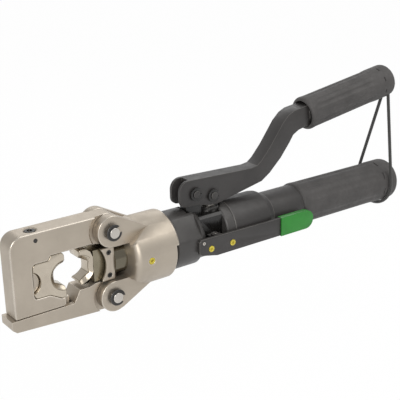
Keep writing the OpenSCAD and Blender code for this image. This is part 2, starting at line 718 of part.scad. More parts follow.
module pump_body() {
    color(black) difference() {
        union() {
            collar();
            // swivel stop in the barrel's stepped rim
            intersection() {
                block([collar_x - rim_step + 0.6, -2.3, -collar_r], [collar_x + 1, 2.3, 0]);
                turned([[collar_x - far, spigot_r + 0.3], [collar_x + 1, spigot_r + 0.3],
                    [collar_x + 1, collar_r], [collar_x - far, collar_r]]);
            }
            // plug that closes the ram cylinder
            bar_x(plug_x, socket_end + 1, plug_r, fn = round_fn);
            intersection() {
                bar_x(collar_end - 1, block_rear_x + 1, block_r, fn = round_fn);
                block([collar_end - 1, -block_w / 2, -far], [block_rear_x + 1, block_w / 2, block_top]);
            }
            turned([[block_rear_x, 0], [block_rear_x, flange_d / 2 - 1], [block_rear_x + 1, flange_d / 2],
                [flange_end, flange_d / 2], [flange_end, spout_r], [flange_end + 10, spout_r],
                [flange_end + 10, 0]]);
            // lug for the lever's pivot
            slab(lug_t) polygon(concat(arc(pivot_x, pivot_z, lug_r, 0, 180, 16),
                [[pivot_x - lug_r, block_top - 2], [pivot_x + lug_r, block_top - 2]]));
            // boss for the release blade's hinge pin
            deck(boss_high - boss_low, boss_low)
                polygon(concat(arc(blade_pivot_x, -boss_y, 3.2, 180, 360, 10),
                    [[blade_pivot_x + 3.2, 1 - block_w / 2], [blade_pivot_x - 3.2, 1 - block_w / 2]]));
            bar_y(-stud_y, 0, 3, stop_x, stud_z);
        }
        translate([ring_x, 0, 0]) rotate([0, 90, 0]) rotate_extrude($fn = round_fn)
            translate([ring_r, 0]) circle(r = ring_wire_r + 0.1, $fn = 24);
        difference() {
            bar_x(plug_seal_x, plug_seal_x + 3, bore_d, fn = round_fn);
            bar_x(plug_seal_x - 1, plug_seal_x + 4, plug_r - 2.2, fn = round_fn);
            turned([[plug_x - 1, spigot_r], [far, spigot_r], [far, far], [plug_x - 1, far]]);
        }
        bar_y(-far, far, lever_pin_r + fit, pivot_x, pivot_z);
        bar_z(passage_z - 2.2, block_top + 1, plunger_r + fit, link_x);
        bar_z(gland_low, block_top + eps, gland_r + fit, link_x);
        bar_z(block_top, far, gland_r + 1.5, link_x);
        bar_z(seal_low, gland_low + eps, plunger_r + 2, link_x);
        bar_z(boss_low - 1, boss_high + 1, hinge_pin_r + fit, blade_pivot_x, -boss_y);
        // oil passages: from the plunger's well forward to the ram cylinder, and from the tank
        bar_x(plug_x - 1, link_x, 1.5, z = passage_z);
        bar_x(plug_x - 1, delivery_x, 3, z = passage_z);
        bar_x(link_x, flange_end + 11, 1.5, z = passage_z);
        bar_x(intake_x, flange_end + 11, 3, z = passage_z);
        bar_z(passage_z, 0, 1.2, flange_end);
        bar_x(flange_end - 1.2, flange_end + 3, 1.2);
        bar_y(-far, -6, valve_r + fit, valve_x, stud_z);
        bar_y(relief_in, far, 5 + fit, relief_x, relief_z);
        bar_y(0, relief_in + 1, 1, relief_x, relief_z - 1);
        bar_x(flange_end + 2, flange_end + 11, fitting_r + fit);
    }
}

module cylinder_plug_seal() {
    color(rubber) turned([[plug_seal_x + 0.2, plug_r - 2.1], [plug_seal_x + 2.8, plug_r - 2.1],
        [plug_seal_x + 2.8, plug_r], [plug_seal_x + 0.2, plug_r]]);
}

// Plunger: its slotted head follows the link pin up and down
lever_open = 50;
link_r = norm([link_dx, link_dz]);
link_a0 = -atan(link_dz / link_dx);
slot_back = link_dx - link_r * cos(lever_open + link_a0);
slot_front = link_r - link_dx;
head_t = lug_t;
slot_half = lever_pin_r + 0.4;
module plunger_slot() {
    bar_y(-far, far, slot_half, link_x - slot_back, link_z + 0.12);
    bar_y(-far, far, slot_half, link_x + slot_front, link_z + 0.12);
    block([link_x - slot_back, -far, link_z + 0.12 - slot_half],
          [link_x + slot_front, far, link_z + 0.12 + slot_half]);
}
module pump_plunger() {
    color(bright) difference() {
        union() {
            bar_z(plunger_low, link_z, plunger_r, link_x);
            slab(head_t) polygon([[link_x - slot_back - 5.6, link_z - 6], [link_x + slot_front + 5.6, link_z - 6],
                [link_x + slot_front + 5.6, link_z + 6], [link_x - slot_back - 5.6, link_z + 6]]);
        }
        plunger_slot();
        for (s = [-1, 1]) block([link_x - 12, s * (head_t / 2 + 5) - 5, block_top + 0.2],
            [link_x + 12, s * (head_t / 2 + 5) + 5, link_z + 7]);
    }
}

module plunger_gland() {
    hex_low = block_top + 0.1;
    color(dark_steel) difference() {
        union() {
            bar_z(gland_low + 0.1, hex_low + 0.1, gland_r, link_x);
            bar_z(hex_low, hex_low + 3.2, gland_r + 1, link_x, fn = 6);
        }
        bar_z(0, far, plunger_r + fit, link_x);
    }
}

module plunger_seal() {
    color(rubber) difference() {
        bar_z(seal_low + 0.1, gland_low, plunger_r + 1.95, link_x);
        bar_z(0, far, plunger_r + 0.1, link_x);
    }
}

// Lever pins
lever_pin_half = lever_w / 2 + 2.6;
module lever_pivot_pin() {
    color(dark_steel) grooved_pin(pivot_x, pivot_z, lever_pin_r, lever_pin_half);
}
module pivot_pin_clips() {
    color(dark_steel) for (s = [-1, 1])
        e_clip(pivot_x, pivot_z, s * (lever_pin_half - clip_inset), lever_pin_r, -20);
}
module plunger_link_pin() {
    color(dark_steel) grooved_pin(link_x, link_z, lever_pin_r, lever_pin_half);
}
module link_pin_clips() {
    color(dark_steel) for (s = [-1, 1])
        e_clip(link_x, link_z, s * (lever_pin_half - clip_inset), lever_pin_r, -10);
}

// Pump lever: a cranked bar, slotted at its front over the lug and the plunger's head
grip_start = [275.3, 78.2];
mouth_l = 14;
tang_end = top_grip_l - 9;
cheek_front = pivot_x - 14.9;
front_low = 26.1;
front_high = 46.9;
function along(s, r) = [grip_start[0] + s * cos(top_grip_slope) - r * sin(top_grip_slope),
                        grip_start[1] + s * sin(top_grip_slope) + r * cos(top_grip_slope)];

module lever_outline() {
    polygon(concat(
        arc(cheek_front + 8.5, front_high - 8.5, 8.5, 180, 90),
        [[pivot_x + 34, 45.6], [pivot_x + 56, 44.6]],
        [[pivot_x + 62.5, 45.4], [pivot_x + 67.2, 48.7], [pivot_x + 76.4, 58.6],
         [pivot_x + 90, 76.4], [pivot_x + 96.5, 82.2], [pivot_x + 103, 85]],
        [along(-6, bar_h / 2), along(12, bar_h / 2), along(12, -bar_h / 2), along(-4, -bar_h / 2)],
        [[pivot_x + 107.5, 67.6], [pivot_x + 101.5, 64.4], [pivot_x + 97.6, 58.8],
         [pivot_x + 88, 47.3], [pivot_x + 76, 36.6], [pivot_x + 67.5, 31.3], [pivot_x + 44, 26.8],
         [pivot_x + 26, 23.1], [pivot_x + 20.5, 22.3], [pivot_x + 13, 22.7], [pivot_x + 4, 25.1]],
        arc(cheek_front + 6, front_low + 6, 6, 270, 180)
    ));
}

module pump_lever() {
    inner = lever_w - 2 * cheek_t;
    color(black) difference() {
        union() {
            slab(lever_w) lever_outline();
            translate([grip_start[0], 0, grip_start[1]]) rotate([0, -top_grip_slope, 0])
                bar_x(2, tang_end, tang_d / 2);
        }
        block([0, -inner / 2, 0], [link_x + 15, inner / 2, pivot_z + 8.6]);
        block([0, -inner / 2, 0], [pivot_x - 5, inner / 2, far]);
        bar_y(-far, far, lever_pin_r + fit, pivot_x, pivot_z);
        bar_y(-far, far, lever_pin_r + fit, link_x, link_z);
    }
}

// How much thicker the grips are before their ends
grip_bulb = 0.4;

// Eight short slots in a ring round a grip
module ring_slots(s, r, first, wide) {
    for (a = [first:45:first + 315])
        rotate([a, 0, 0]) block([s - 0.6, -r * sin(wide / 2), r - 0.7], [s + 0.6, r * sin(wide / 2), r + 5]);
}

// Rubber grip of the lever: open mouth, blunt end, and slots before its end
module grip_profile(l, r, bulb, inner) {
    turned(concat(
        [[0, inner], [0, r - 0.7], [0.8, r + 0.2], [3, r + 0.2], [5, r], [l - 26, r], [l - 20, r + bulb]],
        arc(l - 5, r + bulb - 5, 5, 90, 0, 8),
        [[l, 0], [l - 8, 0], [l - 8, inner]]));
}
module upper_grip() {
    r = top_grip_d / 2;
    color(rubber) difference() {
        translate([grip_start[0], 0, grip_start[1]]) rotate([0, -top_grip_slope, 0]) difference() {
            grip_profile(top_grip_l, r, grip_bulb, tang_d / 2 + fit);
            bar_x(-1, mouth_l, r - 2.8);
            ring_slots(top_grip_l - 13.5, r + grip_bulb, 20, 15);
        }
        for (e = cord_ends) translate(e) sphere(r = cord_d / 2 + 1.6, $fn = 24);
    }
}

// Retaining cord: leaves two eyelets under the lever's grip and loops below the fixed grip.
// Each run is straight down to where it meets the loop.
loop_x = [grip_x + low_grip_l - 12.8, grip_x + low_grip_l - 14.8];
loop_r = low_grip_d / 2 + grip_bulb + cord_d / 2 + 0.1;
function eyelet(s, r, y) = [along(s, r)[0], y, along(s, r)[1]];
cord_ends = [eyelet(top_grip_l - 5.8, -10.9, -8), eyelet(top_grip_l - 3.2, -12.2, 1)];
function loop_angle(end, side) =
    atan2(end[2], end[1]) + side * acos(loop_r / norm([end[1], end[2]]));
loop_angles = [loop_angle(cord_ends[0], 1), loop_angle(cord_ends[1], -1) + 360];
function loop_point(t) =
    let (a = loop_angles[0] + (loop_angles[1] - loop_angles[0]) * t)
    [loop_x[0] + (loop_x[1] - loop_x[0]) * t, loop_r * cos(a), loop_r * sin(a)];
module cord_run(from, to) {
    path = [for (t = [0:0.1:0.9]) from + (to - from) * t, to + unit(from - to) * 0.3];
    sweep(path, cord_d / 2, [for (p = path) [1, 0, 0]], 8);
}
module retaining_cord() {
    color(black) {
        cord_run(cord_ends[0], loop_point(0));
        cord_run(cord_ends[1], loop_point(1));
    }
}
module cord_loop() {
    path = [for (i = [0:24]) loop_point(i / 24)];
    color(black) sweep(path, cord_d / 2, [for (p = path) [1, 0, 0]], 8);
}

// Tank housing: wide in front, a neck, and a core tube that the grip slides over
tank_x = flange_end + 0.1;
tank_r = tank_d / 2;
shoulder_x = 221.7;
neck_x = 231;
neck_r = neck_d / 2;
core_r = core_d / 2;
core_end = grip_x + low_grip_l - 8.5;
module tank_housing() {
    color(black) turned(concat(
        [[tank_x, spout_r + fit], [tank_x, tank_r - 0.8], [tank_x + 0.8, tank_r], [shoulder_x, tank_r]],
        [[shoulder_x + 3.4, tank_r - 0.6], [shoulder_x + 6.2, tank_r - 2.2], [neck_x, neck_r]],
        [[grip_x - 0.2, neck_r], [grip_x - 0.2, core_r], [core_end, core_r], [core_end, tank_bore_r],
         [tank_x + 28, tank_bore_r], [tank_x + 20, spout_r - 2], [tank_x + 11, spout_r - 2],
         [tank_x + 11, spout_r + fit]]));
}

module tank_seal_ring() {
    color(rubber) turned([[tank_x + 10.1, spout_r - 1.9], [tank_x + 10.9, spout_r - 1.9],
        [tank_x + 10.9, spout_r - 0.1], [tank_x + 10.1, spout_r - 0.1]]);
}

nozzle_r = 8;
nozzle_l = 10;
module bladder_fitting() {
    color(dark_steel) difference() {
        turned([[flange_end + 2.2, 0], [flange_end + 2.2, fitting_r], [flange_end + 12, fitting_r],
            [flange_end + 12, nozzle_r], [flange_end + 12 + nozzle_l, nozzle_r],
            [flange_end + 12 + nozzle_l, 0]], small_fn);
        bar_x(0, far * 2, 2);
    }
}

module oil_bladder() {
    x0 = flange_end + 13;
    x1 = core_end - 20;
    r = tank_bore_r - 0.8;
    skin = 1.5;
    cuff_r = nozzle_r + 0.1;
    color(rubber) turned([[x0, cuff_r], [x0, cuff_r + 2.1], [x0 + 2 * nozzle_l, r], [x1 - 4, r],
        [x1, r - 4], [x1, 0], [x1 - skin, 0], [x1 - skin, r - 4.6], [x1 - 4.6, r - skin],
        [x0 + 2 * nozzle_l, r - skin], [x0 + nozzle_l - 0.4, cuff_r]], small_fn);
}

module tank_end_plug() {
    color(dark_steel) difference() {
        turned([[core_end - 12, 0], [core_end - 12, tank_bore_r - fit], [core_end - 0.2, tank_bore_r - fit],
            [core_end - 0.2, 0]], small_fn);
        bar_x(core_end - 5, core_end + 1, 4, fn = 6);
        bar_x(core_end - 19, core_end + 1, 1.5);
    }
}

module lower_grip() {
    r = low_grip_d / 2;
    color(rubber) translate([grip_x, 0, 0]) difference() {
        grip_profile(low_grip_l, r, grip_bulb, core_r + fit);
        ring_slots(low_grip_l - 18, r + grip_bulb, 15, 20);
    }
}

// Release lever: a blade beside the tool, pressed in at its green tip
blade_x0 = 147.4;
blade_x1 = tip_end_x - tip_l;
blade_mid = -blade_y - blade_t / 2;
ear_t = 2.2;
blade_slot = 1.3;
module release_lever() {
    color(black) difference() {
        union() {
            slab(blade_t, blade_mid) polygon([[blade_x0, 1.5 - blade_top * 2], [blade_x0, blade_top - 2],
                [blade_x0 + 2, blade_top], [blade_x1, blade_top - 1], [blade_x1 + 12, blade_top - 2.6],
                [blade_x1 + 22, blade_top - 4.6], [blade_x1 + 22, 3.6 - blade_bottom],
                [blade_x1 + 12, 1.4 - blade_bottom], [blade_x1, -blade_bottom], [blade_x0 + 17, -blade_bottom],
                [blade_x0 + 3, 3 - blade_bottom]]);
            for (z = [boss_low - 0.3 - ear_t, boss_high + 0.3])
                deck(ear_t, z) polygon(concat(arc(blade_pivot_x, -boss_y, 3.2, 180, 0, 10),
                    [[blade_pivot_x + 3.2, -blade_y - 0.5], [blade_pivot_x - 3.2, -blade_y - 0.5]]));
        }
        bar_z(-far, far, hinge_pin_r + fit, blade_pivot_x, -boss_y);
        bar_y(-far, 0, 2.5 + fit, stop_x, stud_z);
        bar_y(-far, 0, 2.5 + fit, valve_x, stud_z);
        bar_y(-far, 0, 1.3 + fit, blade_x0 + 4.2, 1);
    }
}

module release_lever_tip() {
    tip_t = 5;
    end_r = (blade_top - 1 + blade_bottom + 0.6) / 2;
    end_x = tip_end_x - end_r;
    mid_z = (blade_top - 1 - blade_bottom) / 2;
    color(green) difference() {
        slab(tip_t, blade_mid) polygon(concat([[blade_x1 + 0.1, mid_z - end_r], [blade_x1 + 0.1, mid_z + end_r]],
            arc(end_x, mid_z, end_r, 90, -90, 14)));
        slab(blade_t + 0.1, blade_mid) polygon([[0, -blade_bottom - 0.1], [0, blade_top - 0.9],
            [blade_x1, blade_top - 0.9], [blade_x1 + 12.1, blade_top - 2.5], [blade_x1 + 22.1, blade_top - 4.5],
            [blade_x1 + 22.1, 3.5 - blade_bottom], [blade_x1 + 12.1, 1.3 - blade_bottom],
            [blade_x1, -blade_bottom - 0.1]]);
    }
}

module release_hinge_pin() {
    color(bright) bar_z(boss_low - ear_t - 0.2, boss_high + ear_t + 0.2, hinge_pin_r, blade_pivot_x, -boss_y);
}

module blade_screw(x, z, r, y_in, head_y) {
    difference() {
        bar_y(head_y, y_in, r, x, z);
        bar_y(head_y - 1, head_y + 1.2, r * 0.45, x, z, 6);
    }
}
module release_stop_screw() {
    color(yellow) blade_screw(stop_x, stud_z, 2.5, -stud_y - gap, -blade_y - blade_t - 0.4);
}
module release_valve_screw() {
    color(yellow) blade_screw(valve_x, stud_z, 2.5, 0.6 - blade_y, -blade_y - blade_t - 0.4);
}
module release_front_screw() {
    color(bright) blade_screw(blade_x0 + 4.2, 1, 1.3, -blade_y - 0.1, -blade_y - blade_t - 0.3);
}

// Spring between the pump block and the blade, behind the blade's hinge
spring_x = blade_pivot_x + 6.2;
module release_spring() {
    y0 = -block_w / 2 - 0.2;
    color(bright) translate([spring_x, y0, stud_z]) rotate([90, 0, 0])
        coil(2.2, 0.35, blade_y - block_w / 2 - 0.4, 5.5);
}

// Valve pin: the screw pushes it into the flange to open the return valve
module release_valve_pin() {
    color(bright) bar_y(0.9 - blade_y, -7, valve_r, valve_x, stud_z);
}

// Check valves in the two oil passages
ball_r = 2.4;
delivery_spring_l = 9;
intake_spring_l = 5;
module check_balls() {
    color(bright) {
        translate([delivery_x - ball_r, 0, passage_z]) sphere(r = ball_r, $fn = small_fn);
        translate([intake_x + ball_r, 0, passage_z]) sphere(r = ball_r, $fn = small_fn);
    }
}
module check_springs() {
    color(bright) {
        translate([delivery_x - 0.2 - 2 * ball_r, 0, passage_z]) rotate([0, -90, 0])
            coil(1.9, 0.3, delivery_spring_l, 4.5);
        translate([intake_x + 0.2 + 2 * ball_r, 0, passage_z]) rotate([0, 90, 0])
            coil(1.9, 0.3, intake_spring_l, 3.5);
    }
}
module passage_plugs() {
    color(dark_steel) {
        difference() {
            bar_x(plug_x + 0.2, delivery_x - 0.3 - 2 * ball_r - delivery_spring_l, 2.95, z = passage_z);
            bar_x(0, far, 1.2, z = passage_z);
        }
        bar_x(intake_x + 0.3 + 2 * ball_r + intake_spring_l, flange_end + 9.8, 2.95, z = passage_z);
    }
}
module relief_valve_cartridge() {
    color(dark_steel) difference() {
        union() {
            bar_y(relief_in + 0.1, block_w / 2 + 0.2, 5, relief_x, relief_z);
            bar_y(block_w / 2 + 0.1, block_w / 2 + 3.4, 6.4, relief_x, relief_z, 6);
        }
        bar_y(block_w / 2 + 1, far, 2, relief_x, relief_z, 6);
    }
}

fork_barrel();
swivel_wire_ring();
barrel_lock_screw();
rod_wiper();
upper_hinge_pin();
lower_hinge_pin();
upper_hinge_clips();
lower_hinge_clips();
upper_jaw();
fixed_die();
die_button();
die_button_spring();
die_button_cross_pin();
latch_arm();
ram_piston();
piston_seal();
ram_return_spring();
die_holder();
ram_die();
retainer_plate();
plate_screws();
pump_body();
cylinder_plug_seal();
pump_plunger();
plunger_gland();
plunger_seal();
lever_pivot_pin();
pivot_pin_clips();
plunger_link_pin();
link_pin_clips();
pump_lever();
upper_grip();
retaining_cord();
cord_loop();
tank_housing();
tank_seal_ring();
oil_bladder();
bladder_fitting();
tank_end_plug();
lower_grip();
release_lever();
release_lever_tip();
release_hinge_pin();
release_stop_screw();
release_valve_screw();
release_front_screw();
release_spring();
release_valve_pin();
check_balls();
check_springs();
passage_plugs();
relief_valve_cartridge();
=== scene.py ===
"""Hand hydraulic crimping tool: flip-open head, pump lever and tank handle, dressed over its solids."""

import json
import math

import bpy
from mathutils import Matrix, Vector


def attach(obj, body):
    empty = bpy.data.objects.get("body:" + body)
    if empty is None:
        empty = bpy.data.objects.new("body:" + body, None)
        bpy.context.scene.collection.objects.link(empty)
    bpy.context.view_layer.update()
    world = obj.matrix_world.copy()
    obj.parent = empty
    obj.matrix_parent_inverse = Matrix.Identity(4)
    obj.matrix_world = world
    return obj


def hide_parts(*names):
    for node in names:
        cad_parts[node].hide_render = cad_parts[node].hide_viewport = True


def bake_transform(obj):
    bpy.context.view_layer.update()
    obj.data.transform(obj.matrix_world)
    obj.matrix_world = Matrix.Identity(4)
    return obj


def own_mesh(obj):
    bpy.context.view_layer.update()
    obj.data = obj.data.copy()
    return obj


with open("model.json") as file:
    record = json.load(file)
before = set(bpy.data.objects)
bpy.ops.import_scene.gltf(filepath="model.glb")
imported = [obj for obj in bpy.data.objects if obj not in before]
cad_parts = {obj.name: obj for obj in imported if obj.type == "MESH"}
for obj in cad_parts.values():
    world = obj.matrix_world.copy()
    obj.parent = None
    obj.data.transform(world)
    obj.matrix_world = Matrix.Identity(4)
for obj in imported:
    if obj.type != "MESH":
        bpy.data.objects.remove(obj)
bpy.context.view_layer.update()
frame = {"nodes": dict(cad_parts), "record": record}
nodes = frame["nodes"]
MM = 0.001

body_of_node = {
    node: body for body, members in frame["record"]["behaviour"]["bodies"].items() for node in members
}
slot_of_node = {part["node"]: part["material_slot"] for part in frame["record"]["subparts"]}


# Camera, as the photograph was taken

CAMERA_AT = Vector((-225.48, -536.91, 262.78)) * MM
LOOKING = Vector((0.55642, 0.76028, -0.33521)).normalized()
TURN = math.radians(36.199)
ROLL = math.radians(1.096)
LENS = 80.24


def add_camera():
    level_right = Vector((math.cos(TURN), -math.sin(TURN), 0))
    level_up = level_right.cross(LOOKING)
    right = level_right * math.cos(ROLL) - level_up * math.sin(ROLL)
    up = level_right * math.sin(ROLL) + level_up * math.cos(ROLL)
    data = bpy.data.cameras.new("Camera")
    data.lens = LENS
    data.sensor_width = 36
    data.clip_start = 0.01
    camera = bpy.data.objects.new("Camera", data)
    bpy.context.scene.collection.objects.link(camera)
    turn = Matrix((right, up, -LOOKING)).transposed().to_4x4()
    camera.matrix_world = Matrix.Translation(CAMERA_AT) @ turn
    bpy.context.scene.camera = camera


add_camera()


# Hand tools for modelling

def deselect():
    if bpy.context.object and bpy.context.object.mode != "OBJECT":
        bpy.ops.object.mode_set(mode="OBJECT")
    bpy.ops.object.select_all(action="DESELECT")


def take(piece):
    deselect()
    piece.select_set(True)
    bpy.context.view_layer.objects.active = piece


def edit(piece, select="DESELECT", mode="VERT"):
    take(piece)
    bpy.ops.object.mode_set(mode="EDIT")
    bpy.ops.mesh.select_mode(type=mode)
    bpy.ops.mesh.select_all(action=select)


def leave():
    bpy.ops.object.mode_set(mode="OBJECT")


def pick_faces(piece, test):
    """Selects the faces whose centre passes the test, in millimetres."""
    edit(piece, "DESELECT", "FACE")
    leave()
    for face in piece.data.polygons:
        face.select = test(*(face.center / MM))
    bpy.ops.object.mode_set(mode="EDIT")


def apply_modifier(piece, kind, **settings):
    take(piece)
    made = piece.modifiers.new(kind.title(), kind)
    for key, value in settings.items():
        setattr(made, key, value)
    bpy.ops.object.modifier_apply(modifier=made.name)


def smooth(piece, angle=35):
    take(piece)
    bpy.ops.object.shade_smooth_by_angle(angle=math.radians(angle))


def settle(piece, body, slot, *replaced):
    """Puts the piece's place into its mesh, and lets it ride on its body in place of its CAD nodes."""
    take(piece)
    bpy.ops.object.transform_apply(location=True, rotation=True, scale=True)
    if replaced:
        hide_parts(*replaced)
    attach(piece, body)
    return piece


# Cord: one woven elastic piece, from a dent under the lever's grip, round the tank's grip, and back up

LEVER_GRIP = (275.3, 78.2)
LEVER_GRIP_SLOPE = math.radians(9)
LEVER_GRIP_LONG, LEVER_GRIP_R = 101.5, 14.0
TANK_GRIP_X = 264.5
TANK_GRIP_LONG, TANK_GRIP_R = 116.5, 18.25
GRIP_BULB = 0.4
CORD_R = 1.5
CORD_NEAR, CORD_FAR = (LEVER_GRIP_LONG - 5.8, -10.9, -8), (LEVER_GRIP_LONG - 3.2, -12.2, 1)
CORD_INTO_GRIP = 3.2
LOOP_FROM_END, LOOP_DRIFT = 12.8, 2
RUN_STEPS, LOOP_STEPS = 230, 240
STRANDS, WEAVE_PITCH = 4, 8.0


def on_lever_grip(along, across, side):
    """A point of the lever's grip, along its slope and across it."""
    c, s = math.cos(LEVER_GRIP_SLOPE), math.sin(LEVER_GRIP_SLOPE)
    return Vector((LEVER_GRIP[0] + along * c - across * s, side, LEVER_GRIP[1] + along * s + across * c))


def cord_route():
    """Points down to the tank's grip, round under it, and up again, in millimetres."""
    near, far = on_lever_grip(*CORD_NEAR), on_lever_grip(*CORD_FAR)
    loop_r = TANK_GRIP_R + GRIP_BULB + CORD_R + 0.1
    leaves = math.atan2(near.z, near.y) + math.acos(loop_r / math.hypot(near.y, near.z))
    meets = math.atan2(far.z, far.y) - math.acos(loop_r / math.hypot(far.y, far.z)) + 2 * math.pi
    loop_x = TANK_GRIP_X + TANK_GRIP_LONG - LOOP_FROM_END
    bend = []
    for step in range(LOOP_STEPS + 1):
        share = step / LOOP_STEPS
        turn = leaves + (meets - leaves) * share
        bend.append(Vector((loop_x - LOOP_DRIFT * share, loop_r * math.cos(turn), loop_r * math.sin(turn))))
    first = near - (bend[0] - near).normalized() * CORD_INTO_GRIP
    last = far + (far - bend[-1]).normalized() * CORD_INTO_GRIP
    run = [first.lerp(bend[0], i / RUN_STEPS) for i in range(RUN_STEPS)]
    back = [bend[-1].lerp(last, i / RUN_STEPS) for i in range(1, RUN_STEPS + 1)]
    return run + bend + back


def add_cord():
    """A tube along the route, with its strands raised, that stretches from the lever to the tank."""
    route = cord_route()
    sides, relief = 24, 0.11
    points, faces, weave = [], [], []
    travelled = 0.0
    for i, at in enumerate(route):
        ahead = (route[min(i + 1, len(route) - 1)] - route[max(i - 1, 0)]).normalized()
        across = Vector((1, 0, 0)).cross(ahead).normalized()
        other = ahead.cross(across)
        if i:
            travelled += (at - route[i - 1]).length
        for k in range(sides):
            turn = 2 * math.pi * k / sides
            lay = 2 * math.pi * STRANDS * travelled / WEAVE_PITCH
            over = max(math.cos(STRANDS * turn + lay), math.cos(STRANDS * turn - lay))
            r = CORD_R - relief * (1 - over)
            points.append((at + across * r * math.cos(turn) + other * r * math.sin(turn)) * MM)
        if i:
            for k in range(sides):
                corner = ((i - 1) * sides + k, (i - 1) * sides + (k + 1) % sides,
                          i * sides + (k + 1) % sides, i * sides + k)
                faces.append(corner)
                v0, v1 = (travelled - (at - route[i - 1]).length) / WEAVE_PITCH, travelled / WEAVE_PITCH
                weave += [(k / sides, v0), ((k + 1) / sides, v0), ((k + 1) / sides, v1), (k / sides, v1)]
    faces.append(tuple(range(sides))[::-1])
    faces.append(tuple(range(len(points) - sides, len(points))))
    weave += [(0.5, 0.5)] * (2 * sides)
    mesh = bpy.data.meshes.new("retaining_loop")
    mesh.from_pydata(points, [], faces)
    laid = mesh.uv_layers.new(name="weave")
    for spot, value in zip(laid.data, weave):
        spot.uv = value
    mesh.update()
    piece = bpy.data.objects.new("retaining_loop", mesh)
    bpy.context.scene.collection.objects.link(piece)
    edit(piece, "SELECT")
    bpy.ops.mesh.normals_make_consistent(inside=False)
    leave()
    smooth(piece, 60)
    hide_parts("retaining_cord", "cord_loop")
    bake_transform(piece)
    return piece


retaining_loop = add_cord()


# Finishes

def node_in(tree, kind, **inputs):
    made = tree.nodes.new(kind)
    for key, value in inputs.items():
        made.inputs[key.replace("_", " ")].default_value = value
    return made


def noise(tree, scale, detail=3.0, stretch=(1, 1, 1)):
    """Noise in the object's own coordinates. Scale is in grains per metre."""
    place = tree.nodes.new("ShaderNodeTexCoord")
    mapping = tree.nodes.new("ShaderNodeMapping")
    mapping.inputs["Scale"].default_value = stretch
    grain = node_in(tree, "ShaderNodeTexNoise", Scale=scale, Detail=detail, Roughness=0.5)
    tree.links.new(place.outputs["Object"], mapping.inputs["Vector"])
    tree.links.new(mapping.outputs["Vector"], grain.inputs["Vector"])
    return grain.outputs["Fac"]


def ramp(tree, source, low, high, start=0.35, stop=0.65):
    made = tree.nodes.new("ShaderNodeValToRGB")
    made.color_ramp.elements[0].position = start
    made.color_ramp.elements[0].color = (*low, 1)
    made.color_ramp.elements[1].position = stop
    made.color_ramp.elements[1].color = (*high, 1)
    tree.links.new(source, made.inputs["Fac"])
    return made.outputs["Color"]


def spread(tree, source, low, high, start=0.3, stop=0.7):
    made = tree.nodes.new("ShaderNodeMapRange")
    made.inputs["From Min"].default_value = start
    made.inputs["From Max"].default_value = stop
    made.inputs["To Min"].default_value = low
    made.inputs["To Max"].default_value = high
    tree.links.new(source, made.inputs["Value"])
    return made.outputs["Result"]


def bumped(tree, shader, height, depth, under=None):
    made = node_in(tree, "ShaderNodeBump", Strength=1.0, Distance=depth)
    tree.links.new(height, made.inputs["Height"])
    if under:
        tree.links.new(under, made.inputs["Normal"])
    tree.links.new(made.outputs["Normal"], shader.inputs["Normal"])
    return made.outputs["Normal"]


def finish(name, low, high, rough, metallic=0.0, mottle=35, grain=1400, depth=0.00002,
           stretch=(1, 1, 1), fixed=None, waves=None):
    """A finish whose colour drifts between low and high, with its own roughness drift and surface grain."""
    made = bpy.data.materials.new(name)
    made.use_nodes = True
    tree = made.node_tree
    shader = tree.nodes["Principled BSDF"]
    shader.inputs["Metallic"].default_value = metallic
    for key, value in (fixed or {}).items():
        shader.inputs[key].default_value = value
    tree.links.new(ramp(tree, noise(tree, mottle, 4), low, high), shader.inputs["Base Color"])
    tree.links.new(spread(tree, noise(tree, mottle * 6, 4), *rough), shader.inputs["Roughness"])
    under = bumped(tree, shader, noise(tree, grain, 2, stretch=stretch), depth)
    if waves:
        bumped(tree, shader, noise(tree, waves[0], 2), waves[1], under=under)
    return made


